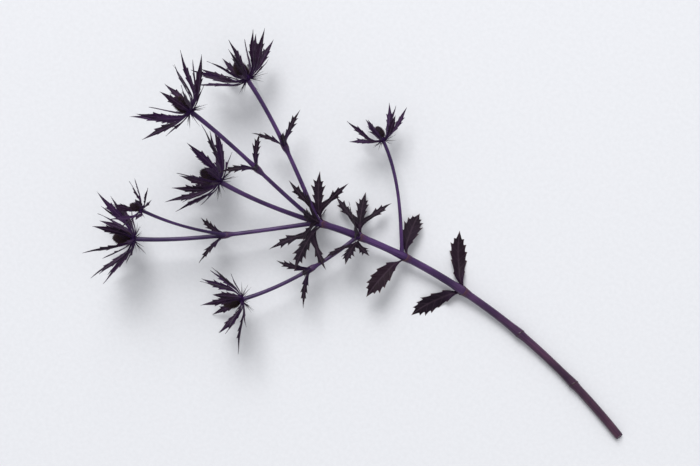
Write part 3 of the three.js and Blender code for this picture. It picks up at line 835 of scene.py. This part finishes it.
def lay_out(strip, u, across):
    """The strip in its blade's own plane: how far each point is along the rib and across it."""
    (along_at, across_at), angle = strip["origin"], strip["angle"]
    ahead = u * strip["length"] + strip["slant"] * np.abs(across)
    plane = np.stack([
        along_at + ahead * math.cos(angle) - across * math.sin(angle),
        across_at + ahead * math.sin(angle) + across * math.cos(angle),
    ], axis=-1)
    if "foot" in strip:
        start, end = np.array(strip["foot"])
        line = mix(start, end, (0.5 - 0.5 * SIDES * COLUMNS)[:, None])
        for i in range(FOOT_ROWS):
            x = u[i] / u[FOOT_ROWS]
            plane[i] = mix(line, plane[FOOT_ROWS], 1 - (1 - x) ** LOBE_CURVE)
    return plane[..., 0], plane[..., 1]


PRESS_OVER = 1.0  # a blade turns flat over this depth as the floor presses it


def press_flat(point, face, low):
    """Raises what would lie lower than `low`, and turns the blade level there."""
    down = np.clip((low - point[..., 2]) / PRESS_OVER, 0, 1)[..., None]
    level = UP * np.where(face[..., 2:] < 0, -1, 1)
    point[..., 2] = np.maximum(point[..., 2], low)
    return point, unit(mix(face, level, down))


# Fine forms of a blade: it waves, its teeth stand up or down, and it thins towards its tip and in its
# teeth. Veins are sunk in its upper face and stand out of its under face.
WAVE_HIGH = 0.35
LEAN = (-0.9, 1.1)
LEAN_HIGH = 0.8
LEAN_ROWS = 9  # so many rows, about a tooth's, lean together
THINS_AFTER = 0.25
THINNEST = 0.4
TOOTH_THIN = 0.45
KEEL_CURVE = 0.6
VEIN_FADES = 0.3
RIB_SIDE_VEIN = 0.55
VEIN_SUNK = 0.08
VEIN_PROUD = 0.12
SPINE_FROM = 0.9  # where along a strip its tip gets a spine's colour, how fast
SPINE_RATE = 10
PLAN_APART = 7.3
FLOOR_GAP = 0.01


def add_strip(heap, rib, fold, strip, random, fine, look):
    """Adds a toothed strip as a closed thin body: its upper face and its under face, row by row."""
    rows = strip["rows"]
    if "foot" in strip:
        rows = [(0, rows[0][1]), *rows]
    stations = stations_of(rows, strip["reach"], random)
    u, body, share, left, right, tooth_vein = stations.T[..., None]
    half = body + share * np.where(SIDES > 0, left, right)
    rib_half = np.minimum(RIB_HALF * look["rib"], half * RIB_MOST)
    s, w = lay_out(strip, u, SIDES * (rib_half + (half - rib_half) * COLUMNS))
    point, face = on_rib(rib, fold, s, w)

    wave = WAVE_HIGH * look["wave"] * np.sin(TURN * (u * look["waves"] + fine())) * COLUMNS
    leans = [mix(*LEAN, fine()) for _ in range(len(u) // LEAN_ROWS + 1)]
    lean = np.repeat(leans, LEAN_ROWS)[: len(u), None] * share * COLUMNS * LEAN_HIGH * look["wave"]
    thick = mix(look["thick"], look["edge"], COLUMNS) * np.clip(1 + THINS_AFTER - u, THINNEST, 1)
    thick = thick * mix(1, TOOTH_THIN, share * COLUMNS)
    rib_vein = (COLUMNS == 0) * np.where(SIDES == 0, 1, RIB_SIDE_VEIN)
    vein = np.maximum(tooth_vein * (1 - VEIN_FADES * COLUMNS), rib_vein)
    if "lobe_vein" in strip:
        vein[np.argmin(np.abs(u - strip["lobe_vein"]))] = 1
    keel = look["keel"] * (SIDES == 0) * (1 - u) ** KEEL_CURVE
    spine = np.maximum(share**2 * COLUMNS**4, np.maximum(u - SPINE_FROM, 0) * SPINE_RATE)

    point, face = press_flat(point + face * (wave + lean)[..., None], face, thick / 2)
    upper = point + face * (thick / 2 - VEIN_SUNK * vein)[..., None]
    under = point - face * (thick / 2 + keel + VEIN_PROUD * vein * (1 - u))[..., None]
    ring = np.concatenate([upper, under[:, ::-1]], axis=1)
    ring[..., 2] = np.maximum(ring[..., 2], FLOOR_GAP)

    def both(value):
        """A value for the columns of both faces, as the under face's run back."""
        value = np.broadcast_to(value, (len(u), len(COLUMNS)))
        return np.concatenate([value, value[:, ::-1]], axis=1)

    heap.add(
        ring, loft_faces(len(u), ring.shape[1]),
        plan=np.stack([both(s), both(w), both(look["seed"] * PLAN_APART)], axis=-1),
        vein=both(vein),
        run=LOBE_RUN if "foot" in strip else both(u),
        edge=both(COLUMNS),
        tint=look["tint"],
        spine=both(spine),
    )


def scaled(form, scale):
    """The rows and the teeth of a form, with what lies across the blade scaled."""
    rows = [(u, half * scale) for u, half in form["rows"]]
    return dict(rows=rows, reach=[reach * scale for reach in form["reach"]])


def add_blade(heap, form, length, scale, rib, fold, random, fine, look):
    """Adds a bract or a leaf with its lobes."""
    slant, lobes = form["slant"], form.get("lobes")
    body = dict(origin=(0, 0), angle=0, length=length, slant=slant, **scaled(form, scale))
    if lobes:
        near, far = body["rows"][lobes["after"] + 1:lobes["after"] + 3]
        body["lobe_vein"] = (near[0] + far[0]) / 2
    add_strip(heap, rib, fold, body, random, fine, look)
    if not lobes:
        return
    ends = [(u * length + slant * half, half) for u, half in (near, far)]
    for side in (1, -1):
        edge = [(s, side * w) for s, w in ends]
        inner = [(s, side * max(0.0, w - LOBE_INSIDE)) for s, w in ends]
        lobe = dict(
            origin=np.mean(edge, axis=0), angle=side * lobes["angle"],
            length=length * lobes["share"], slant=slant,
            foot=inner if side > 0 else inner[::-1], **scaled(lobes, scale),
        )
        add_strip(heap, rib, fold, lobe, random, fine, look)


# ---- flower heads

STEEP = 0.95  # a steeper spike has its rings measured from +X, not from up
SPIKE_TAPER = 0.94
SPIKE_CURVE = 0.8


def spike(start, direction, length, radius, bend=(0, 0, 0), sides=6, steps=5):
    """A tapering spine that bends as it goes: its rings, its faces and how far along each point is."""
    direction = unit(np.asarray(direction, float))
    side = unit(np.cross(UP if abs(direction[2]) < STEEP else np.array([1.0, 0, 0]), direction))
    ring = ring_of(side, np.cross(direction, side), sides)
    x = np.linspace(0, 1, steps + 1)[:, None]
    middle = start + direction * length * x + np.asarray(bend, float) * x * x
    r = radius * (1 - SPIKE_TAPER * x**SPIKE_CURVE)
    points = middle[:, None, :] + r[..., None] * ring[None]
    return points, loft_faces(steps + 1, sides), np.broadcast_to(x, (steps + 1, sides))


def lathe(axes, profile, sides, size=1.0, lift=0.0):
    """A round body of a profile of heights and radii: its rings and its faces."""
    origin, along, side, top = axes
    ring = ring_of(side, top, sides)
    height, radius = (np.array(profile) * size).T
    points = origin + ring[None] * radius[:, None, None] + along * (height[:, None, None] + lift)
    return points, loft_faces(len(profile), sides)


RECEPTACLE_SIDES = 30
BRACT_LOOK = dict(thick=0.62, edge=0.26, keel=0.3, rib=0.8, wave=1.0, waves=1.4)
PLAIN = dict(plan=(0, 0, 0), edge=0, spine=0)  # the point values of what isn't a blade
FINE_NEEDLES = dict(count=12, turn=0.8, varies=0.2, angle=(1.6, 2.3), length=(9, 17), radius=0.42)
NEEDLE_BEND_OUT = (-2.5, 2.5)
NEEDLE_BEND_ALONG = (-1.5, 3.0)
NEEDLE_GAP = 0.02  # from the floor


def add_bracts(heap, head, axes, random, fine):
    """Adds the three rows of bracts of a ruff."""
    size = head["size"]
    serial = 0
    for form, rise, (at_foot, further), count_of, turn in ROWS:
        count = count_of(head)
        for k in range(count):
            off = vary_all(BRACT_VARIES, random)
            length = form["length"] * size * (1 + off["length"])
            rib = rib_of(
                axes, length, TURN * ((k + turn) / count + head["turn"]) + off["azimuth"],
                foot=ROOT_RADIUS * size, rise=(rise + off["rise"]) * size,
                opening=(at_foot, further + off["opening"]), recurve=off["recurve"], sway=off["sway"],
                twist=math.copysign(mix(*TWIST, abs(off["turned"])), off["turned"]),
            )
            serial += 1
            look = dict(BRACT_LOOK, tint=fine(), seed=serial)
            add_blade(heap, form, length, math.sqrt(size), rib, BRACT_FOLD, random, fine, look)


def add_needles(heap, head, axes, random, fine):
    """Adds the needles below a ruff: those of the solids, and finer ones among them."""
    size = head["size"]
    origin, along, _, _ = axes
    needles = []
    for kind, draw in ((NEEDLES, random), (FINE_NEEDLES, fine)):
        for k in range(kind["count"]):
            turn = TURN * ((k + kind["turn"]) / kind["count"] + head["turn"])
            turn = turn + vary(kind["varies"], draw)
            angle = mix(*kind["angle"], draw())
            needles.append((turn, angle, mix(*kind["length"], draw()) * size, kind["radius"]))
    for turn, angle, length, radius in needles:
        out = outward(axes, turn)
        direction = along * math.cos(angle) + out * math.sin(angle)
        start = origin - along * size + out * NEEDLE_ROOT * size
        bend = out * mix(*NEEDLE_BEND_OUT, fine()) + along * mix(*NEEDLE_BEND_ALONG, fine())
        points, faces, run = spike(start, direction, length, radius * math.sqrt(size), bend)
        points[..., 2] = np.maximum(points[..., 2], NEEDLE_GAP)
        heap.add(points, faces, vein=0.15, run=run, tint=fine(), **PLAIN)


def build_ruff(name):
    """The receptacle of a head with its bracts and needles, in one piece."""
    head = HEADS[name]
    axes = AXES[name].frame(1)
    random = draws(head["seed"])
    fine = draws(head["seed"] + FINE_SEED)
    heap = Heap()
    points, faces = lathe(axes, RECEPTACLE, RECEPTACLE_SIDES, head["size"])
    heap.add(points, faces, vein=0.2, run=0.0, tint=0.6, **PLAIN)
    add_bracts(heap, head, axes, random, fine)
    add_needles(heap, head, axes, random, fine)
    make(f"bracts_{name}", heap, BRACT_SKIN, "ruff", f"ruff_{name}")


# A floret is a cup with five pointed sepals, and below it the spine of its small bract. Its sizes
# are for a full head. Tones go from 0, the cup's dark, to 1, a spine's brown.
CUP = [(-0.4, 0.62), (0.35, 0.74), (0.85, 0.62), (1.15, 0.3), (1.22, 0.05)]
CUP_SIDES = 7
CUP_TONE = 0.15
SEPALS = 5
SEPAL = dict(length=1.35, radius=0.27, sides=3, steps=2)
SEPAL_OUT = 0.5
SEPAL_HIGH = 0.45
SEPAL_LEAN = 0.42
SEPAL_TURN = 0.3
SEPAL_TONES = (0.2, 0.8)
SMALL_BRACT = dict(
    start=np.array([0, -0.75, -0.2]), direction=(0, -0.5, 1.0), length=2.9, radius=0.3,
    bend=(0, 1.1, 0.4), sides=4, steps=3,
)


def floret_template():
    """The parts of a floret that points along +Z, with its small bract towards -Y."""
    upright = (np.zeros(3), UP, np.array([1.0, 0, 0]), np.array([0, 1.0, 0]))
    parts = [(*lathe(upright, CUP, CUP_SIDES), CUP_TONE)]
    for k in range(SEPALS):
        turn = TURN * k / SEPALS + SEPAL_TURN
        out = np.array([math.cos(turn), math.sin(turn), 0])
        points, faces, run = spike(out * SEPAL_OUT + UP * SEPAL_HIGH, UP + out * SEPAL_LEAN, **SEPAL)
        parts.append((points, faces, mix(*SEPAL_TONES, run)))
    parts.append(spike(**SMALL_BRACT))
    return [(points.reshape(-1, 3), faces, np.ravel(run)) for points, faces, run in parts]


FLORET = floret_template()
FLORETS = 170  # on a full head
FEWEST = 0.45  # the least share of them, however small a head is
FLORET_SEED = 9000  # added to a head's seed
GOLDEN_TURN = TURN * (1 - 1 / ((1 + 5**0.5) / 2))
CONE_SIDES = 28
CONE_STEPS = 400  # in which its surface is measured
CORE = 0.9  # the florets sit on a core with this share of the cone's radius
FLORET_LEAN = 0.35  # towards the cone's tip
FLORET_STRAYS = 0.12
FLORET_SIZES = (0.9, 1.12)
SMALLER_FROM = 0.8  # the share of the florets after which they get smaller, and how fast
SMALLER_RATE = 5
SMALLEST = 0.72


def build_cone(name):
    """The cone of a head: a dark core set with florets in spirals, each over the same area."""
    head = HEADS[name]
    size = head["size"]
    axes = AXES[name].frame(1)
    origin, along, _, _ = axes
    fine = draws(head["seed"] + FLORET_SEED)
    heap = Heap()
    core, faces = lathe(axes, [(h, r * CORE) for h, r in CONE], CONE_SIDES, size, GAP)
    heap.add(core, faces, run=0.0, tint=0.2)
    steps = np.linspace(0, len(CONE) - 1, CONE_STEPS)
    h, r = (np.interp(steps, range(len(CONE)), column) for column in np.array(CONE).T)
    slope = unit(np.stack([np.gradient(r), np.gradient(h)], axis=1))
    area = np.concatenate([[0], np.cumsum(np.hypot(np.diff(r), np.diff(h)) * (r[1:] + r[:-1]))])
    count = int(FLORETS * mix(FEWEST, 1, size))
    for k in range(count):
        i = int(np.searchsorted(area, (k + 0.5) / count * area[-1]))
        out = outward(axes, GOLDEN_TURN * k + TURN * head["turn"])
        rising = out * slope[i, 0] + along * slope[i, 1]
        normal = out * slope[i, 1] - along * slope[i, 0]
        normal = unit(normal + FLORET_LEAN * along + FLORET_STRAYS * (fine() - 0.5) * rising)
        around = unit(np.cross(rising, normal))
        basis = np.stack([around, np.cross(normal, around), normal])
        at = origin + (out * r[i] * CORE + along * h[i]) * size + along * GAP
        near_tip = max(0.0, (k / count - SMALLER_FROM) * SMALLER_RATE)
        grow = size * mix(*FLORET_SIZES, fine()) * mix(1.0, SMALLEST, near_tip)
        tint = fine()
        for points, faces, run in FLORET:
            heap.add(at + (points * grow) @ basis, faces, run=run, tint=tint)
    make(f"florets_{name}", heap, FLORET_SKIN, "cone", f"cone_{name}")


# ---- leaves

LEAF_LOOK = dict(thick=0.7, edge=0.28, keel=0.35, rib=1.0, wave=1.1, waves=2.2)
SAW_LEAF_LOOK = dict(LEAF_LOOK, keel=0.5, rib=1.3, wave=1.6)


def build_leaves(group):
    """The leaves at one node, a piece each."""
    stem_name, at, form, seed, each = LEAVES[group]
    axes = AXES[stem_name].frame(at)
    skin = BRANCH_LEAF_SKIN if form is BRANCH_LEAF else LEAF_SKIN
    own_look = SAW_LEAF_LOOK if form is SAW_LEAF else LEAF_LOOK
    for k, (turn, share, foot_angle, tip_angle, twist) in enumerate(each):
        random = draws(seed + k)
        fine = draws(seed + k + FINE_SEED)
        length = form["length"] * share
        off = vary_all(LEAF_VARIES, random)
        rib = rib_of(
            axes, length, TURN * turn, foot=0, rise=0, opening=(foot_angle, tip_angle),
            recurve=LEAF_RECURVE + off["recurve"], sway=off["sway"], twist=twist + off["twist"],
        )
        look = dict(own_look, tint=fine(), seed=seed + k)
        heap = Heap()
        add_blade(heap, form, length, 1, rib, LEAF_FOLD, random, fine, look)
        make(f"blade_{group}_{k + 1}", heap, skin, "leaf", f"leaf_{group}_{k + 1}")


# ---- the plant

build_cut(build_stem())
for head_name in HEADS:
    build_ruff(head_name)
    build_cone(head_name)
for leaf_group in LEAVES:
    build_leaves(leaf_group)

# ---- floor, light and camera, in metres

FLOOR_HALF = 40.0
CENTRE = (0.058, -0.020)  # the point of the floor that the camera looks straight down at
HEADING = 33  # degrees by which the stem's direction rises to the left across the picture
HEIGHT = 1.23
LENS = 60


def build_floor():
    mesh = bpy.data.meshes.new("floor")
    corners = [(x * FLOOR_HALF, y * FLOOR_HALF, 0) for x, y in ((-1, -1), (1, -1), (1, 1), (-1, 1))]
    mesh.from_pydata(corners, [], [(0, 1, 2, 3)])
    mesh.materials.append(floor_material())
    floor = add_object("floor", mesh)


def build_light(name, kind, energy, place, **settings):
    """A lamp that shines from its place at the middle of the floor."""
    lamp = bpy.data.lights.new(name, kind)
    lamp.energy = energy
    for key, value in settings.items():
        setattr(lamp, key, value)
    lit = add_object(name, lamp)
    lit.location = place
    lit.rotation_euler = (-Vector(place)).to_track_quat("-Z", "Y").to_euler()


def build_world(strength):
    world = bpy.data.worlds.new("studio")
    world.use_nodes = True
    background = world.node_tree.nodes["Background"]
    background.inputs["Color"].default_value = (0.97, 0.98, 1.0, 1)
    background.inputs["Strength"].default_value = strength
    bpy.context.scene.world = world


def build_camera():
    data = bpy.data.cameras.new("camera")
    data.lens = LENS
    data.clip_start = 0.05
    data.clip_end = 100
    camera = add_object("camera", data)
    camera.location = (*CENTRE, HEIGHT)
    camera.rotation_euler = (0, 0, math.radians(180 + HEADING))
    bpy.context.scene.camera = camera


build_floor()
build_light("key", "SUN", energy=1.7, place=(1.05, -0.95, 1.6), angle=0.5)
build_light("window", "AREA", energy=37, place=(1.7, -2.1, 2.3), size=2.2)
build_world(strength=0.55)
build_camera()
bpy.context.scene.view_settings.view_transform = "Standard"
